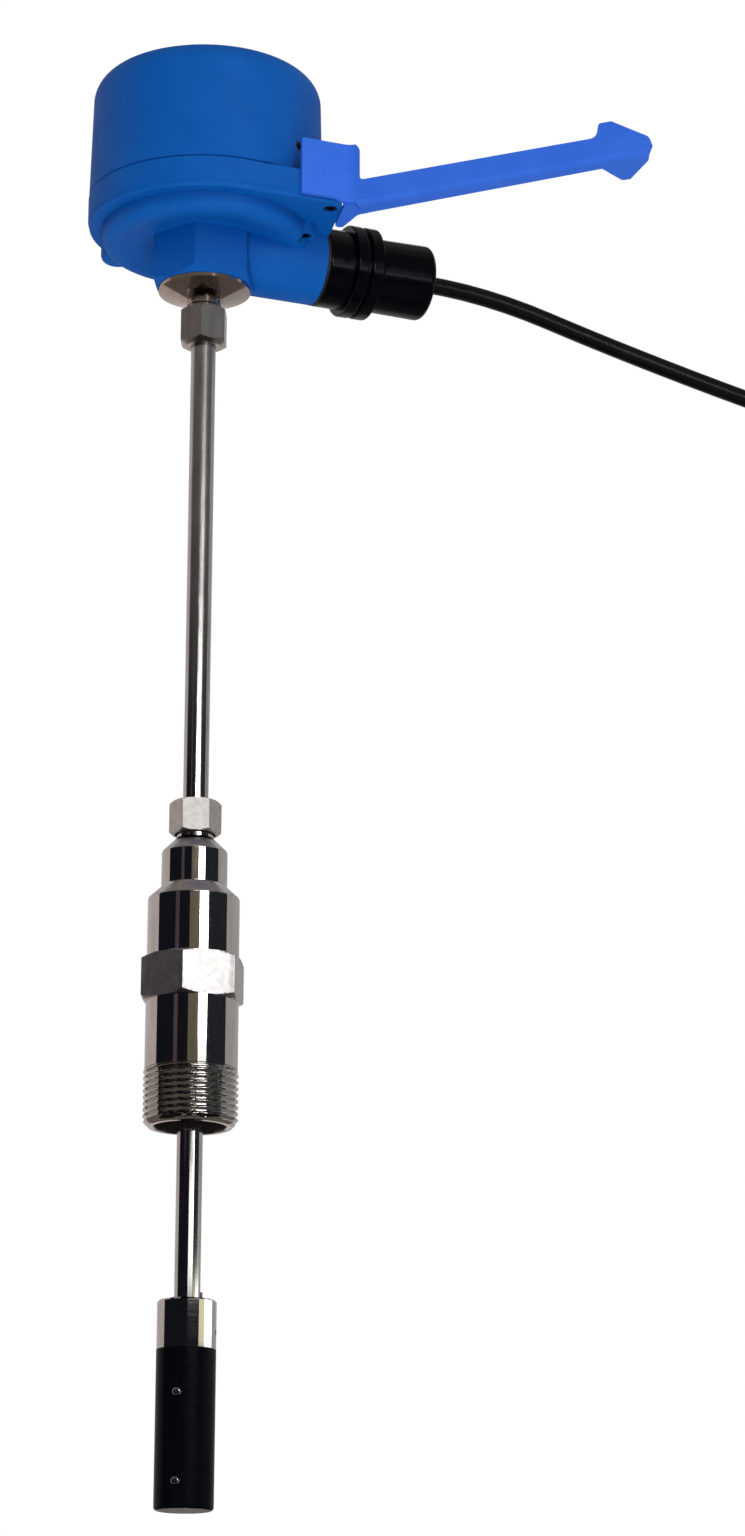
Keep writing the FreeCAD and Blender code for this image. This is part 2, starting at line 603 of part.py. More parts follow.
def lid():
    thread = COLLAR_THREAD_R + FREE_GAP
    seal_r = COLLAR_THREAD_R + SEAL_W
    foot = PARTING_Z + FREE_GAP
    seal_top = foot + SEAL_H
    roof = LID_TOP_Z - LID_TOP_WALL
    shell = turned([
        (thread, seal_top), (seal_r, seal_top), (seal_r, foot), (LID_R0 - PARTING_EDGE, foot),
        (LID_R0, foot + PARTING_EDGE), (LID_R1, LID_TOP_Z, LID_TOP_EDGE), (0, LID_TOP_Z), (0, roof),
        (LID_R1 - LID_WALL, roof, LID_TOP_EDGE - 3.0), (COLLAR_THREAD_R - 1.0, COLLAR_TOP_Z + 2.5),
        (thread, COLLAR_TOP_Z + 1.2),
    ])
    start = at_azimuth(COLLAR_THREAD_R - 1, LOCK_SCREW_AZ, LOCK_SCREW_Z)
    finish = at_azimuth(LID_R0 + 3, LOCK_SCREW_AZ, LOCK_SCREW_Z)
    return shell.cut(rod(LOCK_SCREW_R, start, finish))


def lid_seal():
    inner = COLLAR_THREAD_R + RUN_FIT
    outer = COLLAR_THREAD_R + SEAL_W - RUN_FIT
    z0 = PARTING_Z + FREE_GAP
    z1 = z0 + SEAL_H - 0.4
    return turned([(inner, z0), (outer, z0), (outer, z1), (inner, z1)])


def lid_lock_screw():
    start = at_azimuth(COLLAR_THREAD_R + 0.4, LOCK_SCREW_AZ, LOCK_SCREW_Z)
    finish = at_azimuth(LID_R0 - 0.4, LOCK_SCREW_AZ, LOCK_SCREW_Z)
    socket_start = at_azimuth(LID_R0 - 1.6, LOCK_SCREW_AZ, LOCK_SCREW_Z)
    socket_end = at_azimuth(LID_R0 + 1.0, LOCK_SCREW_AZ, LOCK_SCREW_Z)
    return rod(LOCK_SCREW_R, start, finish).cut(rod(1.0, socket_start, socket_end))


def arrow_arm():
    """One sheet: tail plate, bend, folded arm with both halves of the arrow head, two tabs."""
    tail = plate([
        (TAIL_X0, TAIL_Z0, 0.6), (TAIL_X1 - 3.0, TAIL_Z0, 4.0), (TAIL_X1, ARM_Z0 + 1.0), (TAIL_X1, TAIL_Z1),
        (TAIL_X0, TAIL_Z1, 0.6),
    ], in_xz, V(0, -SHEET, 0))
    tail.translate(V(0, -RIM_R, 0))
    section = Part.Face(rounded_wire([
        (-RIM_R - SHEET, ARM_Z0 + 1.0), (-RIM_R, ARM_Z0 + 1.0), (-RIM_R, TAIL_Z1), (-RIM_R - SHEET, TAIL_Z1),
    ], lambda v: V(TAIL_X1, v.x, v.y)))
    centre = V(TAIL_X1, -RIM_R - SHEET / 2 - BEND_R, 0)
    bend = section.revolve(centre, V(0, 0, 1), -ARM_TURN)
    root = ARM_LEN - HEAD_BACK
    web = plate([
        (0, ARM_Z0), (ARM_LEN, ARM_Z0), (ARM_LEN + 1.3, ARM_Z0 + 3.2), (ARM_LEN + 0.2, ARM_Z0 + 6.4, 1.0),
        (root + 4.8, ARM_Z0 + HEAD_UP, 1.0), (root, ARM_Z0 + HEAD_UP, 1.0), (root - 1.0, ARM_Z1, 2.5), (1.0, ARM_Z1, 2.5),
        (0.9, TAIL_Z1 - 1.6), (0, TAIL_Z1),
    ], in_xz, V(0, SHEET, 0))
    flange = plate([
        (0, 0), (ARM_LEN, 0), (ARM_LEN - 0.5, 3.0), (ARM_LEN - 2.0, 6.2, 1.0), (root + 5.0, HEAD_OUT, 1.0),
        (root + 1.8, HEAD_OUT, 1.5), (root - 1.2, FLANGE_W1), (0, FLANGE_W0),
    ], in_xy, V(0, 0, SHEET))
    flange.translate(V(0, 0, ARM_Z0))
    arm = web.fuse(flange).removeSplitter()
    fold = []
    for edge in arm.Edges:
        box = edge.BoundBox
        if box.XLength > ARM_LEN - 3 and box.YMax < 0.01 and box.ZMax < ARM_Z0 + 0.01:
            fold.append(edge)
    arm = arm.makeFillet(2.2, fold)
    angle = math.radians(ARM_TURN)
    across = V(math.sin(angle), math.cos(angle), 0)
    arm.rotate(V(0, 0, 0), V(0, 0, 1), -ARM_TURN)
    arm.translate(centre + across * (BEND_R - SHEET / 2))
    front = -RIM_R
    side_tab = plate([
        (TAIL_X1 + 4.0, front - 2.4), (TAIL_X1 + 7.0, front + 0.2), (TAIL_X1 + 11.0, front + 2.2),
        (TAIL_X1 + 8.2, front + 5.2, 3.0), (lug_side(front + 17.3) + 3.4, front + 17.3, 1.5),
        (lug_side(front + 19.2) + 2.0, front + 19.2, 1.5), (lug_side(front + 17.7) + FREE_GAP, front + 17.7),
        (lug_side(front) + FREE_GAP, front),
    ], in_xy, V(0, 0, SHEET))
    side_tab.translate(V(0, 0, ARM_Z0))
    nut_tab = Part.makeBox(10.0, 10.4, SHEET, V(ARM_SCREW_X - 6.0, front - 0.4, LUG_Z1))
    nut_tab = nut_tab.cut(Part.makeCylinder(RIM_R + 0.9, 2 * RIM_H, V(0, 0, RING_Z)))
    hole_r = ARM_SCREW_R + THREAD_FIT
    nut_tab = nut_tab.cut(rod(hole_r, V(*ARM_SCREW_XY, RING_Z), V(*ARM_SCREW_XY, LID_TOP_Z)))
    return tail.multiFuse([bend, arm, side_tab, nut_tab]).removeSplitter()


def screw(head_r, head_h, shank_r, shank_len, socket_r):
    """Button-head screw that points up, with its head's seat at the origin."""
    blank = turned([
        (0, -head_h), (head_r * 0.72, -head_h, 0.5), (head_r, -head_h * 0.35), (head_r, 0),
        (shank_r, 0), (shank_r, shank_len), (0, shank_len),
    ])
    return blank.cut(rod(socket_r, V(0, 0, -head_h - 1), V(0, 0, -head_h * 0.4)))


def arm_screw():
    seat_z = RING_Z + SCREW_HEAD_H
    length = LUG_Z1 + SHEET + ARM_NUT_H + 0.3 - seat_z
    piece = screw(SCREW_HEAD_R, SCREW_HEAD_H, ARM_SCREW_R, length, 1.1)
    piece.translate(V(*ARM_SCREW_XY, seat_z))
    return piece


def arm_nut():
    piece = hexagon_with_chamfers(7.0, 0, ARM_NUT_H, 30, 3.9, 3.5)
    piece = piece.cut(rod(ARM_SCREW_R + THREAD_FIT, V(0, 0, -1), V(0, 0, ARM_NUT_H + 1)))
    piece.translate(V(*ARM_SCREW_XY, LUG_Z1 + SHEET))
    return piece


def earth_screw():
    piece = screw(SCREW_HEAD_R, SCREW_HEAD_H, EARTH_SCREW_R, EARTH_SCREW_LEN, 1.1)
    piece.translate(earth_axis(EARTH_PAD_Z + SCREW_HEAD_H))
    return piece


def terminal_board():
    board = turned([(0, BOARD_Z), (BOARD_R, BOARD_Z), (BOARD_R, BOARD_TOP_Z), (0, BOARD_TOP_Z)])
    board = board.cut(rod(4.5, V(0, 0, BOARD_Z - 1), V(0, 0, BOARD_TOP_Z + 1)))
    board = board.cut(Part.makeBox(12, 14, 10, V(BOARD_R - 9, -7, BOARD_Z - 5)))
    for degrees in POST_ANGLES:
        start = at_azimuth(POST_CIRCLE, degrees, BOARD_Z - 1)
        finish = at_azimuth(POST_CIRCLE, degrees, BOARD_TOP_Z + 1)
        board = board.cut(rod(1.6, start, finish))
    return board


def board_screw(degrees):
    piece = screw(BOARD_SCREW_R, 1.9, 1.45, 9.0, 1.0)
    piece.rotate(V(0, 0, 0), V(1, 0, 0), 180)
    piece.translate(at_azimuth(POST_CIRCLE, degrees, BOARD_TOP_Z))
    return piece


def between_screws():
    """Half the width that is free between two neighbouring board screws."""
    return POST_CIRCLE * math.cos(math.radians(POST_ANGLES[0])) - BOARD_SCREW_R - 0.1


def terminal_block():
    half = between_screws()
    y0 = 8.0 - BOARD_R
    z = BOARD_TOP_Z
    block = Part.makeBox(2 * half, BLOCK_D, BLOCK_H, V(-half, y0, z))
    block = block.cut(Part.makeBox(2 * half + 6, 5, BLOCK_H, V(-half - 3, y0 - 1, z + 7)))
    count = int(2 * half / TERMINAL_PITCH)
    for i in range(count):
        x = TERMINAL_PITCH * (i - (count - 1) / 2)
        block = block.cut(rod(1.9, V(x, y0 + 7.7, z + 9), V(x, y0 + 7.7, z + BLOCK_H + 1)))
        block = block.cut(rod(1.4, V(x, y0 - 5, z + 3.6), V(x, y0 + 6, z + 3.6)))
    return block


def signal_module():
    half = between_screws() - 1.0
    y1 = BOARD_R - 7.0
    y0 = y1 - MODULE_D
    outline = [(-half, y0, 2), (half, y0, 2), (half, y1, 2), (-half, y1, 2)]
    block = plate(outline, in_xy, V(0, 0, MODULE_H))
    block.translate(V(0, 0, BOARD_TOP_Z))
    return block


def gland_gasket():
    inner = GLAND_THREAD_R + 0.2
    outer = ENTRY_R + 0.1
    return turned_on_entry([(ENTRY_X, inner), (ENTRY_X, outer), (GLAND_X, outer), (GLAND_X, inner)])


def gland_body():
    root = ENTRY_X - GLAND_THREAD_LEN
    hub = ENTRY_R + 0.2
    ring_x0 = GLAND_X + GLAND_HUB_LEN
    ring_x1 = ring_x0 + GLAND_RING_LEN
    return turned_on_entry([
        (root, GLAND_BORE_R), (root, GLAND_THREAD_R - 0.6), (root + 0.6, GLAND_THREAD_R),
        (GLAND_X, GLAND_THREAD_R), (GLAND_X, hub, 0.8), (ring_x0, hub), (ring_x0, GLAND_RING_R, 0.7),
        (ring_x1, GLAND_RING_R, 0.5), (ring_x1, hub + 0.7), (GLAND_NUT_X, hub + 0.7),
        (GLAND_NUT_X, GLAND_INNER_R), (GLAND_SLEEVE_X, GLAND_INNER_R), (GLAND_SLEEVE_X, GLAND_SEAL_R),
        (GLAND_SEAL_X, GLAND_SEAL_R), (GLAND_SEAL_X, GLAND_BORE_R),
    ])


def gland_seal():
    x0 = GLAND_SEAL_X
    x1 = x0 + GLAND_SEAL_LEN
    return turned_on_entry([
        (x0, CABLE_R), (x0, GLAND_SEAL_R), (x1 - 2.5, GLAND_SEAL_R), (x1, GLAND_SEAL_R - 2.0), (x1, CABLE_R),
    ])


def gland_nut():
    x = GLAND_NUT_X
    bore = CABLE_R + 0.15
    thread = GLAND_INNER_R + THREAD_FIT
    barrel = GLAND_RING_R - 3.4
    seal_end = GLAND_SEAL_X + GLAND_SEAL_LEN
    return turned_on_entry([
        (x, thread), (x, GLAND_RING_R, 0.5), (x + 4.3, GLAND_RING_R, 0.4), (x + 6.0, barrel),
        (GLAND_END_X, barrel + 0.3, 2.0), (GLAND_END_X, bore), (seal_end + 2.5, bore),
        (seal_end, GLAND_SEAL_R - 1.6), (seal_end - 1.5, GLAND_SEAL_R + 0.4), (GLAND_SLEEVE_X + 1.0, thread),
    ])


def cable_tail():
    return rod(CABLE_R, V(16.5, 0, ENTRY_Z), V(GLAND_END_X, 0, ENTRY_Z))


def cable():
    """Round cable along straight runs joined by tangent arcs."""
    stops = [V(*point) for point in CABLE_ROUTE]
    edges = []
    start = stops[0]
    for i in range(1, len(stops) - 1):
        back = stops[i - 1] - stops[i]
        ahead = stops[i + 1] - stops[i]
        shorter = min(back.Length, ahead.Length)
        back.normalize()
        ahead.normalize()
        half_turn = (math.pi - back.getAngle(ahead)) / 2
        reach = 0.45 * shorter
        radius = reach / math.tan(half_turn)
        inward = back + ahead
        inward.normalize()
        first = stops[i] + back * reach
        last = stops[i] + ahead * reach
        middle = stops[i] + inward * (radius / math.cos(half_turn) - radius)
        edges.append(Part.LineSegment(start, first).toShape())
        edges.append(Part.Arc(first, middle, last).toShape())
        start = last
    edges.append(Part.LineSegment(start, stops[-1]).toShape())
    ring = Part.Wire(Part.makeCircle(CABLE_R, stops[0], V(1, 0, 0)))
    return Part.Wire(edges).makePipeShell([ring], True, False)


def cable_coil():
    face = Part.Face(rounded_wire([
        (COIL_R0, -COIL_HALF_WIDTH, 3.2), (COIL_R1, -COIL_HALF_WIDTH, 3.2),
        (COIL_R1, COIL_HALF_WIDTH, 3.2), (COIL_R0, COIL_HALF_WIDTH, 3.2),
    ], in_xy))
    ring = face.revolve(V(0, 0, 0), V(0, 1, 0), 360)
    ring.translate(V(COIL_X, 0, COIL_Z))
    return ring


def coil_tie():
    """Strap round the bundle of turns and the cable that comes in on top of them."""
    w = COIL_HALF_WIDTH + 0.3
    r0 = COIL_R0 - 0.5
    r1 = COIL_R1 + 2 * CABLE_R + 0.4
    side = r1 - 6.0
    outer = plate([(r0 - 1.2, -w - 1.2, 4), (r1 + 1.2, -w - 1.2, 4), (r1 + 1.2, -5.0, 3), (side + 1.2, w + 1.2, 4),
                   (r0 - 1.2, w + 1.2, 4)], in_xy, V(0, 0, 5.0))
    inner = plate([(r0, -w, 2.8), (r1, -w, 2.8), (r1, -5.5, 2.5), (side, w, 2.8), (r0, w, 2.8)], in_xy, V(0, 0, 5.0))
    strap = outer.cut(inner)
    strap.translate(V(0, 0, -2.5))
    strap.rotate(V(0, 0, 0), V(0, 1, 0), -83.0)
    strap.translate(V(COIL_X, 0, COIL_Z))
    return strap


PIECES = {
    "process_fitting": process_fitting(),
    "retaining_ring": retaining_ring(),
    "stem_bush": stem_bush(),
    "bush_seal_low": bush_seal(3.0),
    "bush_seal_high": bush_seal(11.0),
    "lock_ferrule": lock_ferrule(),
    "lock_nut": lock_nut(),
    "stem_rod": stem_rod(),
    "probe_collar": probe_collar(),
    "collar_set_screw": collar_set_screw(),
    "collar_pin": collar_pin(),
    "sensor_body": sensor_body(),
    "electrode_high": electrode(ELECTRODE_HIGH),
    "electrode_low": electrode(ELECTRODE_LOW),
    "coil_core": coil_core(),
    "field_coil": field_coil(),
    "lead_bundle": lead_bundle(),
    "head_adaptor": head_adaptor(),
    "head_ferrule": head_ferrule(),
    "head_nut": head_nut(),
    "housing_base": housing_base(),
    "lid": lid(),
    "lid_seal": lid_seal(),
    "lid_lock_screw": lid_lock_screw(),
    "arrow_arm": arrow_arm(),
    "arm_screw": arm_screw(),
    "arm_nut": arm_nut(),
    "earth_screw": earth_screw(),
    "terminal_board": terminal_board(),
    "board_screw_1": board_screw(45),
    "board_screw_2": board_screw(135),
    "board_screw_3": board_screw(225),
    "board_screw_4": board_screw(315),
    "terminal_block": terminal_block(),
    "signal_module": signal_module(),
    "gland_gasket": gland_gasket(),
    "gland_body": gland_body(),
    "gland_seal": gland_seal(),
    "gland_nut": gland_nut(),
    "cable_tail": cable_tail(),
    "cable": cable(),
    "cable_coil": cable_coil(),
    "coil_tie": coil_tie(),
}

for name, shape in PIECES.items():
    shape.exportStep("parts/" + name + ".step")
    box = shape.BoundBox
    print(name, len(shape.Solids), shape.isValid(), round(shape.Volume),
          [round(v, 1) for v in (box.XMin, box.XMax, box.YMin, box.YMax, box.ZMin, box.ZMax)])
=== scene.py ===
import math

import bpy
import numpy as np
from mathutils import Matrix, Vector


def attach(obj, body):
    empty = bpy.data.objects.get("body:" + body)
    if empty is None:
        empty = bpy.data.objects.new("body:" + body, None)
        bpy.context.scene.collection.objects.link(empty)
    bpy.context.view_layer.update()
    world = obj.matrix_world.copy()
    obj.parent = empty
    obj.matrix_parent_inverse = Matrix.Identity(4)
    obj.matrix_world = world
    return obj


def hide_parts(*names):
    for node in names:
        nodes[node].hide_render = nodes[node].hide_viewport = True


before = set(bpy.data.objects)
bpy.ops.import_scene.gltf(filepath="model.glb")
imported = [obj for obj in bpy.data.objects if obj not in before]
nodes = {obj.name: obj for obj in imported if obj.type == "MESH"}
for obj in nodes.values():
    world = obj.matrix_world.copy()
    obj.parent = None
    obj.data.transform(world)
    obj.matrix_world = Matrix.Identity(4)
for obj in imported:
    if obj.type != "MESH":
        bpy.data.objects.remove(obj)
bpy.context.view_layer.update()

# The view: the camera stood below the meter, which was held up by its process thread, and looked
# up at it by 16 degrees through a long lens, from 22 degrees left of the gland's side.
camera_place = (-0.47822, -1.35043, -0.30211)
turned_aside = math.radians(-22.0)
tilted_up = math.radians(106.0)
rolled = math.radians(0.30)
lens = bpy.data.cameras.new("photo_camera")
lens.sensor_fit = "VERTICAL"
lens.sensor_height = 36.0
lens.lens = 98.44
camera = bpy.data.objects.new("photo_camera", lens)
camera.matrix_world = (
    Matrix.Translation(camera_place)
    @ Matrix.Rotation(turned_aside, 4, "Z")
    @ Matrix.Rotation(tilted_up, 4, "X")
    @ Matrix.Rotation(rolled, 4, "Z")
)
bpy.context.collection.objects.link(camera)
bpy.context.scene.camera = camera

# The cable: about 3 m of black instrument lead in a PVC jacket, 6.5 mm thick. The gland grips it.
# It comes straight out, then goes down in a long easy slope. The length that the photograph does
# not show is wound in four layers, one inside the other, into a tied ring.


def linear(hex_colour):
    """Linear colour of an sRGB hex string: each channel goes back through the sRGB curve."""
    parts = [int(hex_colour[i:i + 2], 16) / 255 for i in (0, 2, 4)]
    parts = [p / 12.92 if p <= 0.04045 else ((p + 0.055) / 1.055) ** 2.4 for p in parts]
    return (*parts, 1.0)


def add_node(tree, kind, inputs, **settings):
    """One shader node: an input that is a socket is linked, any other value is set."""
    made = tree.nodes.new(kind)
    for key, value in settings.items():
        setattr(made, key, value)
    for key, value in inputs.items():
        if isinstance(value, bpy.types.NodeSocket):
            tree.links.new(value, made.inputs[key])
        else:
            made.inputs[key].default_value = value
    return made


def grain(tree, size_mm, drawn, detail):
    """Uneven pattern, size_mm wide on the part, and longer along an axis whose drawn share is below 1."""
    place = add_node(tree, "ShaderNodeTexCoord", {})
    in_mm = add_node(tree, "ShaderNodeMapping", {
        "Vector": place.outputs["Object"], "Scale": tuple(1000.0 * share for share in drawn)})
    lumps = add_node(tree, "ShaderNodeTexNoise", {
        "Vector": in_mm.outputs["Vector"], "Scale": 1.0 / size_mm, "Detail": detail})
    return lumps.outputs["Fac"]


def new_finish(name, shades, shade_mm, rough, rough_mm=None, bump_mm=None, bump_deep=0.0, metal=0.0,
               specular=0.5, shade_drawn=(1, 1, 1), rough_drawn=(1, 1, 1), bump_drawn=(1, 1, 1),
               bump_detail=3.0):
    """Surface whose colour wanders between two shades, and its roughness between two values.

    Colour, roughness and bump each follow a grain of their own, of a width in millimetres. Most
    of a grain lies from 0.3 to 0.7, so that span is spread over the two shades or values. Without
    rough_mm the roughness is one number. The bump is bump_deep millimetres from low to high.
    """
    most_low = 0.3
    most_high = 0.7
    made = bpy.data.materials.new(name)
    made.use_nodes = True
    tree = made.node_tree
    shader = tree.nodes["Principled BSDF"]
    shader.inputs["Metallic"].default_value = metal
    shader.inputs["Specular IOR Level"].default_value = specular
    colour = add_node(tree, "ShaderNodeValToRGB", {"Fac": grain(tree, shade_mm, shade_drawn, 3.0)})
    for stop, at, shade in zip(colour.color_ramp.elements, (most_low, most_high), shades):
        stop.position = at
        stop.color = linear(shade)
    tree.links.new(colour.outputs["Color"], shader.inputs["Base Color"])
    if rough_mm is None:
        shader.inputs["Roughness"].default_value = rough
    else:
        spread = add_node(tree, "ShaderNodeMapRange", {
            "Value": grain(tree, rough_mm, rough_drawn, 3.0), "From Min": most_low, "From Max": most_high,
            "To Min": rough[0], "To Max": rough[1]})
        tree.links.new(spread.outputs["Result"], shader.inputs["Roughness"])
    if bump_mm is not None:
        relief = add_node(tree, "ShaderNodeBump", {
            "Height": grain(tree, bump_mm, bump_drawn, bump_detail), "Strength": 1.0,
            "Distance": bump_deep / 1000})
        tree.links.new(relief.outputs["Normal"], shader.inputs["Normal"])
    return made


def paint(piece, finish):
    """The finish becomes the piece's first and only material."""
    piece.data.materials.clear()
    piece.data.materials.append(finish)


# PVC jacket: nearly black and smooth, so one soft streak of light runs along the cable.
jacket = new_finish(
    "cable_jacket_pvc", ("050608", "0a0b0e"), 9.0, (0.26, 0.34), rough_mm=4.0,
    bump_mm=2.5, bump_deep=0.012, bump_detail=2.0, specular=0.28)

cable_thick = 0.0065
route = [(0.087, 0.0, 0.3065), (0.112, 0.0, 0.3065), (0.165, 0.0, 0.2926),
         (0.232, -0.0045, 0.2756), (0.2935, -0.00975, 0.2631)]
ring_x = 0.283
ring_z = 0.2116
ring_entry = math.radians(78.5)
entry_radius = 0.05255
layers = ((0.0460, 3), (0.0395, 3), (0.0330, 3), (0.0265, 2))
points_a_turn = 16
points_a_change = 4
# The spline touches the middle of each side between its points, so the points stand 2 % out.
stand_out = 1.0195

angle = ring_entry
across = route[-1][1]
way = 1
radius = entry_radius
for layer_radius, turns in layers:
    drop = radius - layer_radius
    for i in range(1, points_a_change + 1):
        share = i / points_a_change
        angle -= 2 * math.pi / points_a_turn
        r = stand_out * (radius - drop * share * share * (3 - 2 * share))
        route.append((ring_x + r * math.cos(angle), across, ring_z + r * math.sin(angle)))
    radius = layer_radius
    for i in range(points_a_turn * turns):
        angle -= 2 * math.pi / points_a_turn
        across += way * cable_thick / points_a_turn
        r = stand_out * radius
        route.append((ring_x + r * math.cos(angle), across, ring_z + r * math.sin(angle)))
    way = -way

line = bpy.data.curves.new("cable_line", "CURVE")
line.dimensions = "3D"
line.bevel_depth = cable_thick / 2
line.bevel_resolution = 6
line.resolution_u = 6
line.use_fill_caps = True
spline = line.splines.new("NURBS")
spline.points.add(len(route) - 1)
for point, place in zip(spline.points, route):
    point.co = (*place, 1.0)
spline.order_u = 3
spline.use_endpoint_u = True
cable = bpy.data.objects.new("cable_line", line)
bpy.context.collection.objects.link(cable)
line.materials.append(jacket)
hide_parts("cable", "cable_coil")
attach(cable, "stem")

# The cable's end: four cores in coloured PVC, bared by hand for the buyer's own terminals. They
# come out of the jacket side by side and fan a little, and each shows a stub of copper strands.

# Stranded copper: warm and bright, with the strands as fine lines along it.
bare_copper = new_finish(
    "stranded_copper", ("a85f37", "c98355"), 0.3, 0.3,
    bump_mm=0.3, bump_deep=0.03, bump_drawn=(1, 0.2, 1), metal=1.0)


def wire_core(name, side, up, colour, paler):
    """Round core carried along a bent line out of the cable's end.

    The middle line goes ahead by 14 mm and bends to the ring's inside by the square of the way
    along. Side and up, each 1 or -1, move it to its corner of the four, and the corners part along
    the way. A circle stands on each of its points, thinner where the copper is bare, and a single
    point closes each end.
    """
    rows = 10
    columns = 10
    ahead_by = 0.014
    begins_inside = 0.002
    bend = 0.0045
    apart = 0.0014
    apart_at_root = 0.6
    cover_radius = 0.00085
    copper_radius = 0.00045
    bare_from = 0.62
    along = np.linspace(0, 1, rows + 2)[:, None]
    turn = np.arange(columns)[None, :] * 2 * math.pi / columns
    end = np.array(route[-1])
    ahead = end - np.array(route[-2])
    ahead = ahead / np.linalg.norm(ahead)
    inward = np.array([ring_x, end[1], ring_z]) - end
    inward = inward / np.linalg.norm(inward)
    level = np.array([0.0, 1.0, 0.0])
    spread = apart * (apart_at_root + along)
    middle = (end + ahead * (ahead_by * along - begins_inside)
              + inward * (bend * along ** 2 + side * spread) + level * up * spread)
    radius = np.where(along > bare_from, copper_radius, cover_radius)[1:-1]
    skin = middle[1:-1, None, :] + radius[:, :, None] * (
        np.cos(turn)[:, :, None] * inward + np.sin(turn)[:, :, None] * level)
    points = np.concatenate([skin.reshape(-1, 3), middle[[0, -1]]])
    root_point = rows * columns
    tip_point = root_point + 1
    last_row = root_point - columns
    i = np.arange(rows - 1)[:, None] * columns
    j = np.arange(columns)[None, :]
    beside = (j + 1) % columns
    quads = np.stack([i + j, i + beside, i + columns + beside, i + columns + j], axis=-1).reshape(-1, 4)
    root = np.stack([np.full_like(j, root_point), beside, j], axis=-1).reshape(-1, 3)
    tip = np.stack([last_row + j, last_row + beside, np.full_like(j, tip_point)], axis=-1).reshape(-1, 3)
    mesh = bpy.data.meshes.new(name)
    mesh.from_pydata(points.tolist(), [], quads.tolist() + root.tolist() + tip.tolist())
    mesh.update()
    core = bpy.data.objects.new(name, mesh)
    bpy.context.collection.objects.link(core)
    # PVC core cover: one nearly even colour, a little glossy.
    paint(core, new_finish(name + "_pvc", (colour, paler), 0.8, 0.4))
    mesh.materials.append(bare_copper)
    face_along = np.concatenate([along[1:rows, 0], along[0], along[rows]])
    bare = np.repeat(face_along > bare_from, columns).astype(np.int32)
    mesh.polygons.foreach_set("material_index", bare)
    mesh.polygons.foreach_set("use_smooth", np.ones(len(mesh.polygons), dtype=bool))
    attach(core, "stem")
    return core


cores = [
    wire_core("core_red", 1, 1, "9d1f1b", "a92620"),
    wire_core("core_black", -1, 1, "101112", "18191b"),
    wire_core("core_white", 1, -1, "d3d1cb", "dfddd8"),
    wire_core("core_green", -1, -1, "1d6637", "237241"),
]

# The strap: one flat cable tie of black nylon, moulded, and drawn tight by hand round all the
# turns of the ring where the cable comes into it.

# Nylon: black and dull, with the fine grain of its mould.
strap = new_finish("nylon_strap", ("0e0f10", "191a1b"), 2.0, 0.55, bump_mm=0.5, bump_deep=0.05)
paint(nodes["coil_tie"], strap)

# The process fitting: one piece of stainless steel, turned from bar. Its pipe thread screws into
# the pipe, its hexagon takes the wrench, and the fine thread on its neck takes the lock nut.
# The hexagon, the cones and the bore are left as the cutter made them, the rest is polished.

# Polished stainless steel: a dark mirror with hard-edged bands. Its turning lines are drawn
# 0.16 mm wide, coarser than real ones, so that they show at all.
polished_steel = new_finish(
    "polished_stainless", ("b9b6b2", "c9c7c4"), 3.0, (0.03, 0.06), rough_mm=0.35,
    bump_mm=0.16, bump_deep=0.0003, metal=1.0, shade_drawn=(1, 1, 0.2),
    rough_drawn=(0.02, 0.02, 1), bump_drawn=(0.01, 0.01, 1), bump_detail=2.0)

# Milled stainless steel: pale and soft, because the cutter's marks scatter the light.
milled_steel = new_finish(
    "milled_stainless", ("b4b1ad", "c8c6c3"), 2.0, (0.30, 0.42), rough_mm=0.5,
    bump_mm=0.5, bump_deep=0.012, metal=1.0, rough_drawn=(1, 1, 0.1),
    bump_drawn=(1, 1, 0.3), bump_detail=2.0)

columns = 192
turn = np.arange(columns) / columns


def turned(profile):
    """Rows of a turned profile: each height and radius, in mm, goes unchanged once round the axis."""
    pairs = np.array(profile)
    return pairs[:, 0], np.repeat(pairs[:, 1:], columns, axis=1)


def thread_phase(heights, pitch):
    """Share of the pitch, 0 to 1, at each height and turn: height over pitch less the turn made."""
    return (heights[:, None] / pitch - turn[None, :]) % 1.0


def ring_mesh(name, heights, radii):
    """Closed ring from rows of radii in mm: x and y are the radius on the circle, z is the height.

    The rows go down the outside and up the inside, and the last one joins the first.
    """
    rows = len(heights)
    level = np.broadcast_to(heights[:, None], radii.shape)
    angles = turn * 2 * math.pi
    points = np.stack([radii * np.cos(angles), radii * np.sin(angles), level], axis=-1)
    i = np.arange(rows)[:, None]
    j = np.arange(columns)[None, :]
    after = (i + 1) % rows
    beside = (j + 1) % columns
    quads = np.stack(np.broadcast_arrays(
        i * columns + j, after * columns + j, after * columns + beside, i * columns + beside), axis=-1)
    mesh = bpy.data.meshes.new(name)
    mesh.from_pydata((points / 1000).reshape(-1, 3).tolist(), [], quads.reshape(-1, 4).tolist())
    mesh.update()
    made = bpy.data.objects.new(name, mesh)
    bpy.context.collection.objects.link(made)
    return made


def smooth(piece, degrees):
    """Smooth shading, with a sharp edge where two faces meet at more than the angle."""
    mesh = piece.data
    mesh.polygons.foreach_set("use_smooth", np.ones(len(mesh.polygons), dtype=bool))
    mesh.set_sharp_from_angle(angle=math.radians(degrees))


# The neck's thread is a plain V, from the crest down to its depth and back in one pitch.
neck_crest = 7.0
neck_pitch = 1.5
neck_depth = 0.7
neck_heights = np.arange(89.2, 84.6, -0.16)
neck_thread = neck_crest - neck_depth * np.abs(2 * thread_phase(neck_heights, neck_pitch) - 1)

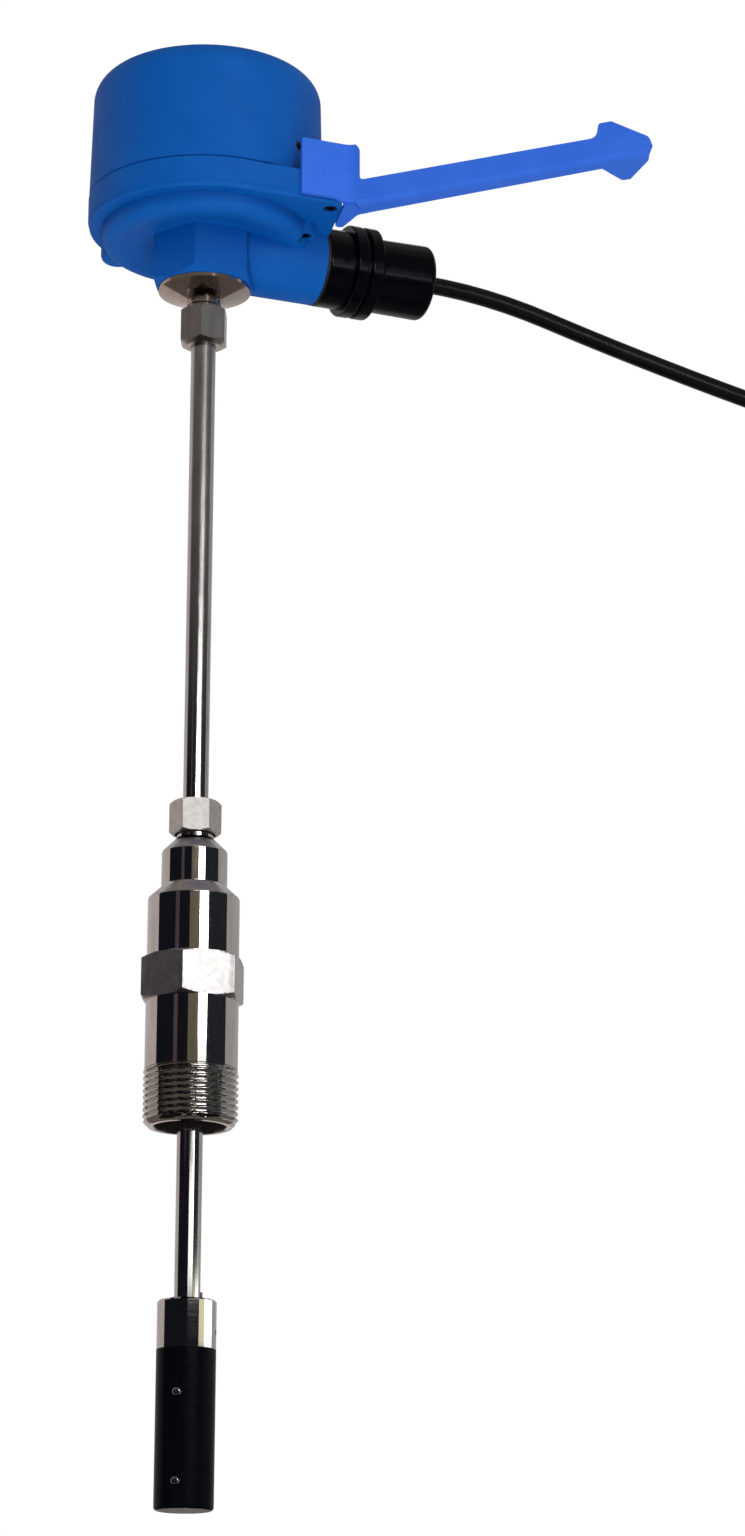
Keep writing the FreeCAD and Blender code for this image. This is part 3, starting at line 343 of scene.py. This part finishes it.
# The hexagon's radius is half its width over the cosine from the nearest flat's middle, and a
# cone of 30 degrees turns its corners off at both ends.
hexagon_half = 16.5
corner_start = 17.0
hexagon_heights = np.array([38.4, 38.1, 37.8, 37.5, 37.2, 23.9, 23.6, 23.3, 23.0, 22.7])
flats = hexagon_half / np.cos((turn * 2 * math.pi) % (math.pi / 3) - math.pi / 6)
from_end = np.minimum(hexagon_heights[0] - hexagon_heights, hexagon_heights - hexagon_heights[-1])
corners = corner_start + from_end / math.tan(math.radians(30))
hexagon = np.minimum(flats[None, :], corners[:, None])

# The pipe thread is a V with narrow flats on crest and root, 11.5 turns to the inch. It deepens
# over 2 mm where it begins, and a chamfer takes its crests off at the foot.
pipe_crest = 16.6
pipe_pitch = 2.209
pipe_depth = 1.45
pipe_flank = 1.25
pipe_flat = 0.1
pipe_begins = -1.6
pipe_deepens_over = 2.0
chamfer_begins = -19.5
chamfer_slope = 0.95
pipe_heights = np.arange(-2.0, -20.6, -0.1)
pipe_form = np.clip(pipe_flank * np.abs(2 * thread_phase(pipe_heights, pipe_pitch) - 1) - pipe_flat, 0, 1)
deepening = np.clip((pipe_begins - pipe_heights) / pipe_deepens_over, 0, 1)
chamfer = pipe_crest - chamfer_slope * np.maximum(0, chamfer_begins - pipe_heights)
pipe_thread = np.minimum(pipe_crest - pipe_depth * deepening[:, None] * pipe_form, chamfer[:, None])

fitting_bands = {
    "neck_top": turned([(90.0, 6.1), (90.0, 6.4), (89.4, 7.0)]),
    "neck_thread": (neck_heights, neck_thread),
    "undercut": turned([(84.6, 6.8), (84.3, 6.5), (84.2, 6.5), (81.9, 6.5), (81.8, 6.5)]),
    "upper_cone": turned([(80.6, 7.7), (77.0, 11.3)]),
    "upper_barrel": turned([(76.4, 11.6), (76.2, 11.6), (64.4, 11.6), (64.2, 11.6)]),
    "lower_cone": turned([(63.6, 11.9), (59.9, 15.9)]),
    "barrel": turned([(59.3, 16.15), (59.1, 16.15), (38.6, 16.15), (38.4, 16.15)]),
    "hexagon": (hexagon_heights, hexagon),
    "shank": turned([(22.7, 16.25), (22.5, 16.25), (-1.1, 16.25), (-1.3, 16.25),
                     (-1.5, 15.9), (-1.9, 15.9)]),
    "pipe_thread": (pipe_heights, pipe_thread),
    "foot": turned([(-20.9, 15.0), (-21.5, 14.6), (-21.5, 13.0)]),
    "bore": turned([(-21.1, 12.6), (50.5, 12.6), (52.0, 11.1), (52.0, 8.3),
                    (72.0, 8.3), (72.0, 4.8), (86.5, 4.8)]),
}
fitting = ring_mesh(
    "process_fitting_turned",
    np.concatenate([heights for heights, radii in fitting_bands.values()]),
    np.concatenate([radii for heights, radii in fitting_bands.values()]))
smooth(fitting, 28)
paint(fitting, polished_steel)
fitting.data.materials.append(milled_steel)
milled_bands = ("upper_cone", "lower_cone", "hexagon", "bore")
row_finish = {name: np.full(len(heights), int(name in milled_bands), dtype=np.int32)
              for name, (heights, radii) in fitting_bands.items()}
# The step below the hexagon's last row was turned and polished with the shank.
row_finish["hexagon"][-1] = 0
face_finish = np.repeat(np.concatenate(list(row_finish.values())), columns)
fitting.data.polygons.foreach_set("material_index", face_finish)
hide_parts("process_fitting")
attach(fitting, "process_fitting")

# The guide bush in the fitting: a white ring of filled PTFE, turned, on which the stem slides and
# turns. Two rubber O-rings seal it, and a sprung steel ring snapped into a groove holds it up.

# Filled PTFE: off-white and waxy, without a clear reflection.
white_bush = new_finish("filled_ptfe", ("dcd9d2", "ece9e3"), 1.5, 0.48, bump_mm=0.5, bump_deep=0.01)
paint(nodes["stem_bush"], white_bush)

# Nitrile rubber: matt and nearly black, with a skin that shows no clear light.
rubber = new_finish("nitrile_rubber", ("101010", "1a1a1a"), 3.0, 0.62, bump_mm=0.4, bump_deep=0.02)
for name in ("bush_seal_low", "bush_seal_high"):
    paint(nodes[name], rubber)
paint(nodes["retaining_ring"], polished_steel)

# The lock nut and its ferrule: stainless steel. The nut is milled from hexagon bar, screws down
# over the neck, and presses the polished ferrule onto the stem.
paint(nodes["lock_ferrule"], polished_steel)
paint(nodes["lock_nut"], milled_steel)

# The stem and the nut at its head: stainless tube, 9 mm thick, ground to size, and a nut of the
# same dull finish. A ferrule under the nut grips the tube in the adaptor.

# Ground stainless tube: bright where it has slid in the fitting, and duller towards the head.
ground_steel = new_finish(
    "ground_stainless_tube", ("b4b1ae", "c6c4c1"), 3.0, 0.25,
    bump_mm=0.35, bump_deep=0.0016, metal=1.0, shade_drawn=(1, 1, 0.2),
    bump_drawn=(1, 1, 0.5), bump_detail=2.0)
bright_below = 0.06
bright_rough = 0.08
dull_above = 0.20
dull_rough = 0.25
tube = ground_steel.node_tree
tube_place = add_node(tube, "ShaderNodeTexCoord", {})
tube_axis = add_node(tube, "ShaderNodeSeparateXYZ", {"Vector": tube_place.outputs["Object"]})
duller_upward = add_node(tube, "ShaderNodeMapRange", {
    "Value": tube_axis.outputs["Z"], "From Min": bright_below, "From Max": dull_above,
    "To Min": bright_rough, "To Max": dull_rough})
tube.links.new(duller_upward.outputs["Result"], tube.nodes["Principled BSDF"].inputs["Roughness"])
for name in ("stem_rod", "head_nut"):
    paint(nodes[name], ground_steel)
paint(nodes["head_ferrule"], polished_steel)

# The head adaptor: a cone of stainless steel, turned, that screws up into the housing and takes
# the stem's nut below.

# Turned stainless steel: warm grey, with lines round the cone that spread each reflection. They
# are drawn 0.15 mm wide, coarser than real ones, so that they show.
turned_steel = new_finish(
    "turned_stainless", ("a89b93", "b6aba3"), 2.0, 0.11,
    bump_mm=0.15, bump_deep=0.003, metal=1.0, bump_drawn=(0.01, 0.01, 1), bump_detail=2.0)
paint(nodes["head_adaptor"], turned_steel)

# The probe's collar, its locating pin and the two electrodes: polished stainless steel. The collar
# joins the sensor body to the stem, and the electrode heads stand out of the sensor's side.
for name in ("probe_collar", "collar_pin", "electrode_high", "electrode_low"):
    paint(nodes[name], polished_steel)

# The sensor body: black acetal, turned, with a rounded edge at its tip. It is pushed into the
# collar and holds the electrodes and the field coil.

# Black acetal: deep black and dull, with hardly a sheen along its side.
sensor_plastic = new_finish(
    "black_acetal", ("030406", "05060a"), 6.0, (0.22, 0.30), rough_mm=3.0,
    bump_mm=0.25, bump_deep=0.002, specular=0.05, bump_drawn=(0.1, 0.1, 1))
paint(nodes["sensor_body"], sensor_plastic)

# The field coil in the sensor: enamelled copper wire wound on a core of soft iron, cast in behind
# the electrodes. Its wires and theirs go up the stem in one grey sleeve.

# Enamelled copper: red-brown and shiny, with the windings as fine rings.
copper = new_finish(
    "enamelled_copper", ("9a4a22", "c06a35"), 0.4, 0.34,
    bump_mm=0.4, bump_deep=0.06, metal=0.9, shade_drawn=(0.05, 0.05, 1), bump_drawn=(0.02, 0.02, 1))
paint(nodes["field_coil"], copper)

# Soft iron: dark grey with a dull shine, bare from the lathe.
iron = new_finish("soft_iron", ("57585a", "6a6b6c"), 1.5, 0.45, bump_mm=0.5, bump_deep=0.02, metal=1.0)
paint(nodes["coil_core"], iron)

# Grey polyamide: an even middle grey with a soft, fine-grained sheen.
grey_moulding = new_finish("grey_polyamide", ("83888a", "92979a"), 3.0, 0.5, bump_mm=0.5, bump_deep=0.015)
paint(nodes["lead_bundle"], grey_moulding)

# The housing base and its lid: aluminium die castings, drafted, and powder-coated before their
# threads were cut. The lid screws down onto a flat rubber ring.

# Blue powder coat: satin, with an orange peel about 1 mm wide and almost no clear reflection.
powder_coat = new_finish(
    "blue_powder_coat", ("0052a6", "0357ac"), 14.0, (0.55, 0.65), rough_mm=5.0,
    bump_mm=0.9, bump_deep=0.025, specular=0.10, bump_detail=2.0)
for name in ("housing_base", "lid"):
    paint(nodes[name], powder_coat)
paint(nodes["lid_seal"], rubber)

# The lid's thread on the base: cut in the aluminium casting after it was coated, so it is bare
# metal. It shows as low ridges, 2.5 mm apart, when the lid is up.

# Machined aluminium: light grey and soft, with fine turning lines.
bare_aluminium = new_finish(
    "machined_aluminium", ("9fa1a3", "b7b9ba"), 1.5, (0.32, 0.44), rough_mm=0.6,
    bump_mm=0.3, bump_deep=0.004, metal=1.0, shade_drawn=(0.05, 0.05, 1), bump_drawn=(0.05, 0.05, 1))

# The ridge rises from the root by its height, with a flat crest, in every pitch. A plain row
# closes it at either end, and two rows inside the casting's wall make it a ring.
lid_pitch = 2.5
lid_root = 40.02
lid_ridge = 0.24
lid_flank = 3.2
lid_edge = 40.01
lid_inside = 39.8
lid_heights = np.concatenate([[327.6, 339.0, 339.0], np.arange(327.8, 338.9, 0.2)[::-1], [327.6]])
lid_form = np.clip(lid_flank * (0.5 - np.abs(thread_phase(lid_heights, lid_pitch) - 0.5)), 0, 1)
lid_radii = lid_root + lid_ridge * lid_form
lid_radii[:2] = lid_inside
lid_radii[[2, -1]] = lid_edge
lid_thread = ring_mesh("lid_thread_on_base", lid_heights, lid_radii)
smooth(lid_thread, 40)
paint(lid_thread, bare_aluminium)
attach(lid_thread, "stem")

# The cable gland: body and nut moulded in black polyamide. The body screws into the housing over
# a rubber gasket, and the nut squeezes a rubber seal round the cable's tail.

# Black polyamide: deep black and smooth from the mould, with narrow soft reflections.
gland_plastic = new_finish(
    "black_polyamide", ("020307", "04050a"), 6.0, (0.17, 0.22), rough_mm=3.0,
    bump_mm=1.2, bump_deep=0.0015, specular=0.13)
for name in ("gland_body", "gland_nut"):
    paint(nodes[name], gland_plastic)
for name in ("gland_gasket", "gland_seal", "cable_tail"):
    paint(nodes[name], rubber)

# The flow arrow: one piece of sheet metal, cut and folded, painted in a brighter blue. A screw
# through its foot holds it to the housing's lug.

# Blue paint on sheet: flat and even, with hardly a sheen.
arrow_paint = new_finish(
    "blue_arrow_paint", ("3268d6", "396dda"), 10.0, (0.48, 0.58), rough_mm=4.0,
    bump_mm=0.8, bump_deep=0.02, specular=0.05, bump_detail=2.0)
paint(nodes["arrow_arm"], arrow_paint)

# The screws outside: steel socket screws and a nut, blackened in a hot bath. They hold the arrow,
# the earth wire, the lid's lock and the probe's collar.

# Black oxide on steel: dark grey, with a dry and slightly grainy shine.
black_oxide = new_finish(
    "black_oxide_steel", ("17181a", "242527"), 1.0, 0.42, bump_mm=0.3, bump_deep=0.01, metal=0.8)
for name in ("arm_screw", "arm_nut", "earth_screw", "lid_lock_screw", "collar_set_screw"):
    paint(nodes[name], black_oxide)

# The terminal board in the head: green lacquered glass-fibre, held down by four zinc-plated steel
# screws. It carries a grey moulded terminal block and the signal module, cast in black resin.

# Zinc plate: light grey with a soft shine.
zinc = new_finish(
    "zinc_plated_steel", ("a5a6a2", "bdbeb9"), 1.5, 0.32, bump_mm=0.3, bump_deep=0.005, metal=1.0)
for name in ("board_screw_1", "board_screw_2", "board_screw_3", "board_screw_4"):
    paint(nodes[name], zinc)

# Lacquered board: green and half glossy, with the fibre's unevenness just showing.
board = new_finish("lacquered_board", ("145c34", "1b6b3e"), 4.0, 0.35, bump_mm=0.6, bump_deep=0.01)
paint(nodes["terminal_board"], board)
paint(nodes["terminal_block"], grey_moulding)

# Potting resin: black and glossy, with a slow waviness from setting.
resin = new_finish("potting_resin", ("0c0d0f", "15171a"), 8.0, 0.22, bump_mm=3.0, bump_deep=0.05)
paint(nodes["signal_module"], resin)

# The floor and the surround: a wide pale floor far below the meter, and white all round. The
# camera, gloss and glass see them bright, and they light the meter only at a plain level.


def seen_straight(tree):
    """1 for a ray from the camera, off gloss or through glass, and 0 for diffuse light."""
    ray = add_node(tree, "ShaderNodeLightPath", {})
    either = add_node(tree, "ShaderNodeMath", {
        0: ray.outputs["Is Camera Ray"], 1: ray.outputs["Is Glossy Ray"]}, operation="MAXIMUM")
    any_of = add_node(tree, "ShaderNodeMath", {
        0: either.outputs[0], 1: ray.outputs["Is Transmission Ray"]}, operation="MAXIMUM")
    return any_of.outputs[0]


# Painted floor: pale and matt, lifted a little towards white by its own glow.
floor_half = 40.0
floor_z = -1.7
floor_lift = 0.42
corner_signs = np.array([(-1, -1), (1, -1), (1, 1), (-1, 1)])
floor_points = np.column_stack([floor_half * corner_signs, np.full(4, floor_z)])
floor_mesh = bpy.data.meshes.new("floor")
floor_mesh.from_pydata(floor_points.tolist(), [], [(0, 1, 2, 3)])
floor = bpy.data.objects.new("floor", floor_mesh)
bpy.context.collection.objects.link(floor)
floor_paint = new_finish("pale_floor", ("e9e9e8", "efefee"), 300.0, 0.7)
floor_tree = floor_paint.node_tree
floor_glow = add_node(floor_tree, "ShaderNodeMapRange", {
    "Value": seen_straight(floor_tree), "To Min": 0.0, "To Max": floor_lift})
floor_shader = floor_tree.nodes["Principled BSDF"]
floor_shader.inputs["Emission Color"].default_value = linear("ffffff")
floor_tree.links.new(floor_glow.outputs["Result"], floor_shader.inputs["Emission Strength"])
paint(floor, floor_paint)

sky_on_meter = 0.48
world = bpy.data.worlds.new("studio")
bpy.context.scene.world = world
world.use_nodes = True
sky = world.node_tree
sky_level = add_node(sky, "ShaderNodeMapRange", {
    "Value": seen_straight(sky), "To Min": sky_on_meter, "To Max": 1.0})
background = sky.nodes["Background"]
background.inputs["Color"].default_value = linear("ffffff")
sky.links.new(sky_level.outputs["Result"], background.inputs["Strength"])

# The studio's cards: glowing sheets in black, grey and white hung round the meter, standing for the
# cards of any photograph of bright metal. Only gloss and metal see them, and they light nothing, so
# the steel's bands are painted reflections of them: dark beside the camera, one bright strip on the
# right, and grey behind.
camera_side = -112.0
cards_away = 1.1
cards_foot = -0.41
cards_top = 2.0


def hang_card(name, mesh, colour, strength):
    """The mesh as a card that shines evenly, seen in reflections and by nothing else."""
    card = bpy.data.objects.new(name, mesh)
    bpy.context.collection.objects.link(card)
    glow = bpy.data.materials.new(name)
    glow.use_nodes = True
    tree = glow.node_tree
    emit = add_node(tree, "ShaderNodeEmission", {"Color": linear(colour), "Strength": strength})
    tree.links.new(emit.outputs["Emission"], tree.nodes["Material Output"].inputs["Surface"])
    mesh.materials.append(glow)
    card.visible_camera = False
    card.visible_diffuse = False
    card.visible_transmission = False
    card.visible_shadow = False


def upright_card(name, start, finish, colour, low=cards_foot, high=cards_top, strength=1.0,
                 away=cards_away):
    """Card bent round Z between two angles from the camera's side: an arc at low and the same at high."""
    posts = 13
    turn = np.radians(camera_side + np.linspace(start, finish, posts))
    arc = np.stack([away * np.cos(turn), away * np.sin(turn)], axis=-1)
    foot = np.column_stack([arc, np.full(posts, low)])
    top = np.column_stack([arc, np.full(posts, high)])
    i = np.arange(posts - 1)
    quads = np.stack([i, i + 1, i + 1 + posts, i + posts], axis=-1)
    mesh = bpy.data.meshes.new(name)
    mesh.from_pydata(np.concatenate([foot, top]).tolist(), [], quads.tolist())
    hang_card(name, mesh, colour, strength)


def flat_card(name, inner, outer, colour, height=cards_foot):
    """Level ring between two radii: a circle at each radius, joined."""
    posts = 48
    turn = np.arange(posts) * 2 * math.pi / posts
    circle = np.stack([np.cos(turn), np.sin(turn), np.zeros(posts)], axis=-1)
    points = np.concatenate([circle * inner, circle * outer]) + (0, 0, height)
    i = np.arange(posts)
    beside = (i + 1) % posts
    quads = np.stack([i, beside, beside + posts, i + posts], axis=-1)
    mesh = bpy.data.meshes.new(name)
    mesh.from_pydata(points.tolist(), [], quads.tolist())
    hang_card(name, mesh, colour, 1.0)


# Above and below the meter.
flat_card("ceiling", 0.0, cards_away, "9a918d", height=cards_top)
flat_card("floor_near", 0.0, 0.35, "1c1a19")
flat_card("floor_far", 0.35, cards_away, "6e6660")

# Left of the camera: black, and paler higher up, where the head and the stem's top see it.
upright_card("left_flag", -94, -7, "1a1b22", high=0.48)
upright_card("left_flag_mid", -94, -7, "4a4749", low=0.48, high=0.58)
upright_card("left_flag_high", -94, -7, "6a6360", low=0.58, high=0.68)
upright_card("left_flag_top", -94, -7, "7c746f", low=0.68)
upright_card("left_stripe", -43, -33, "584d54", low=0.17, high=0.48, away=1.05)

# Beside the lens, between the black card and the bright strip.
upright_card("lens_gap_foot", -7, 17, "4a4846", low=0.17, high=0.225)
upright_card("lens_gap", -7, 17, "78715f", low=0.225, high=0.41)
upright_card("lens_gap_mid", -7, 18, "33383c", low=0.41, high=0.56)
upright_card("lens_gap_high", -7, 18, "686361", low=0.56, high=0.68)
upright_card("lens_gap_top", -7, 18, "857d78", low=0.68)

# The bright strip on the right, narrower and weaker upwards, and a small bright card that paints
# a highlight on the lock nut's front face.
upright_card("strip_foot", 18, 39, "ffffff", low=0.17, high=0.235, strength=1.6, away=1.05)
upright_card("strip", 18, 39, "ffffff", low=0.235, high=0.40, strength=14.0, away=1.05)
upright_card("strip_mid", 18, 32, "ffffff", low=0.40, high=0.54, strength=0.8, away=1.05)
upright_card("strip_high", 20, 29, "ffffff", low=0.54, high=0.66, strength=0.8, away=1.05)
upright_card("strip_top", 21, 28, "ffffff", low=0.66, high=0.80, strength=0.6, away=1.05)
upright_card("nut_card", 2, 17, "ffffff", low=0.374, high=0.41, strength=21.0, away=1.04)

# Right of the strip: black, and paler higher up.
upright_card("right_flag", 17, 94, "2b2e34", low=0.17, high=0.48)
upright_card("right_flag_mid", 18, 94, "4b4c51", low=0.48, high=0.58)
upright_card("right_flag_high", 18, 94, "62605f", low=0.58, high=0.68)
upright_card("right_flag_top", 18, 94, "716d6a", low=0.68)

# Low cards, seen by the stem below the fitting and the probe.
upright_card("low_flag", -7, 5, "1a1b22", high=0.17)
upright_card("low_strip", 5, 47, "ffffff", low=0.092, high=0.17, strength=2.2)
# A small bright card, seen only in reflections, that paints the highlight streak along the gland's body
# and rings.
upright_card("gland_streak_card", 36, 44.5, "e8ecff", low=0.105, high=0.185, strength=8.0, away=1.0)
upright_card("low_flag_right", 47, 94, "2c3031", low=0.092, high=0.17)
upright_card("probe_flag", 5, 50, "1a1b22", high=0.092)
upright_card("probe_strip_warm", 50, 74, "f2f0cc", low=0.05, high=0.09, strength=1.3, away=1.05)
upright_card("probe_strip", 74, 116, "ffffff", low=0.05, high=0.09, strength=3.0, away=1.05)
upright_card("probe_glow", 50, 116, "4c586c", high=0.05, away=1.05)

# Behind the meter.
upright_card("back_left", -180, -94, "d0c6c4", high=0.95)
upright_card("back_right", 94, 180, "bab7b6", high=0.95)
upright_card("back_sheen", 94, 266, "e2e4ee", low=0.95, high=1.45)
upright_card("back_top", 94, 266, "373840", low=1.45)

# The lamps: two soft boxes, a tall one high on the right and a square one low in front, which
# lights the head's underside. Neither shows in gloss, where the cards stand for them.
meter_middle = Vector((0, 0, 0.15))


def lamp(name, degrees, away, height, size, watts):
    """Area lamp at an angle counted from the camera's side, aimed at the middle of the meter."""
    light = bpy.data.lights.new(name, "AREA")
    light.shape = "RECTANGLE"
    light.size = size[0]
    light.size_y = size[1]
    light.energy = watts
    turn = math.radians(camera_side + degrees)
    place = Vector((away * math.cos(turn), away * math.sin(turn), height))
    aim = meter_middle - place
    made = bpy.data.objects.new(name, light)
    made.matrix_world = Matrix.Translation(place) @ aim.to_track_quat("-Z", "Y").to_matrix().to_4x4()
    made.visible_glossy = False
    bpy.context.collection.objects.link(made)


lamp("key", 29, 1.3, 0.95, (0.5, 1.5), 8)
lamp("low_fill", 5, 0.5, -0.4, (0.8, 0.8), 5)

# Colours are shown as they are written.
bpy.context.scene.view_settings.view_transform = "Standard"
